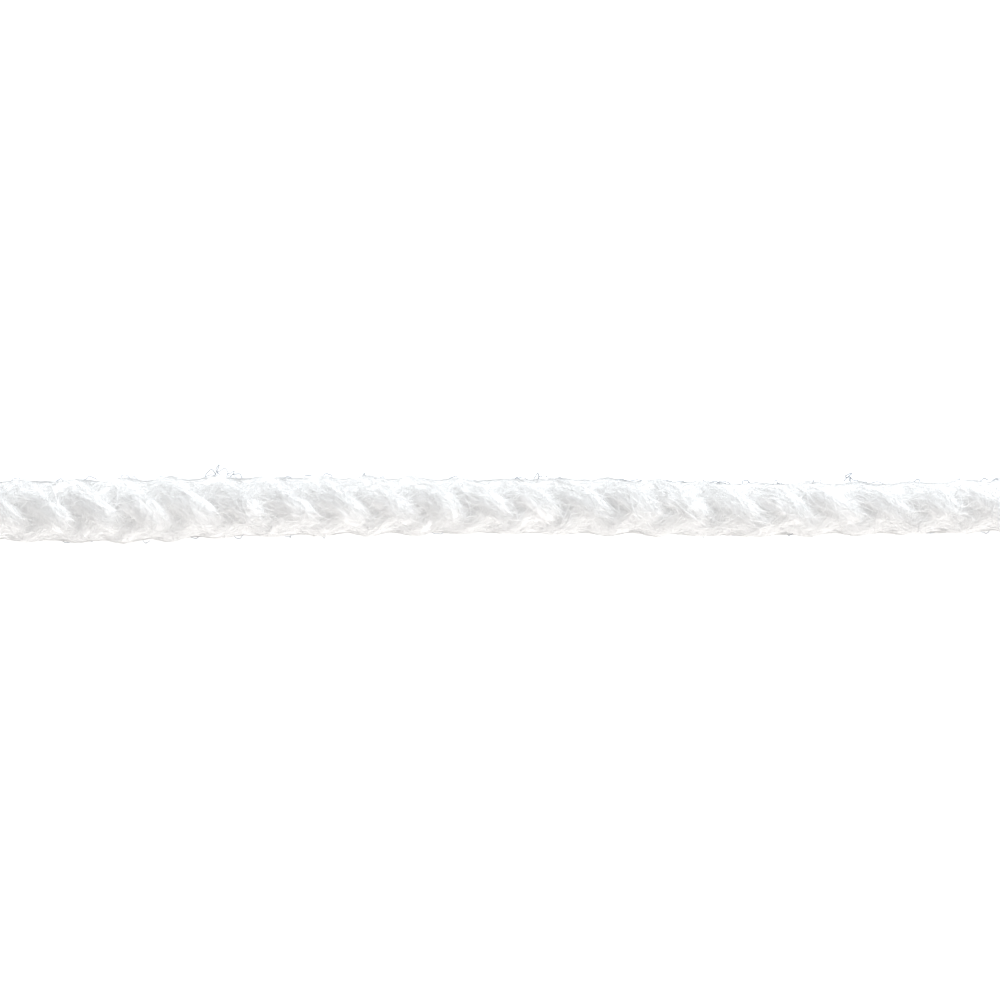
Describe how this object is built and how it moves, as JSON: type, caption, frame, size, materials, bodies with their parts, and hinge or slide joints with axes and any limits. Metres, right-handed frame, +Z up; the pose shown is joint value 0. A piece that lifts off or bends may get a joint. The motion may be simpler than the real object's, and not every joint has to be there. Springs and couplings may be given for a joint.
{
  "type": "cut length of braided cord",
  "caption": "Straight cut length of soft white braided cord: plaited strands make slanting raised crowns all round, both ends are cut square, and the underside is pressed flat where it rests.",
  "frame": {"origin": "on the surface that the cord lies on, under the middle of its box", "axes": "+X along the cord, +Y across it, +Z up from the surface"},
  "size_m": [0.1, 0.006, 0.0056],
  "materials": {
    "cord_yarn": "matte"
  },
  "bodies": {
    "root": {"braided_cord": "cord_yarn"}
  },
  "joints": []
}
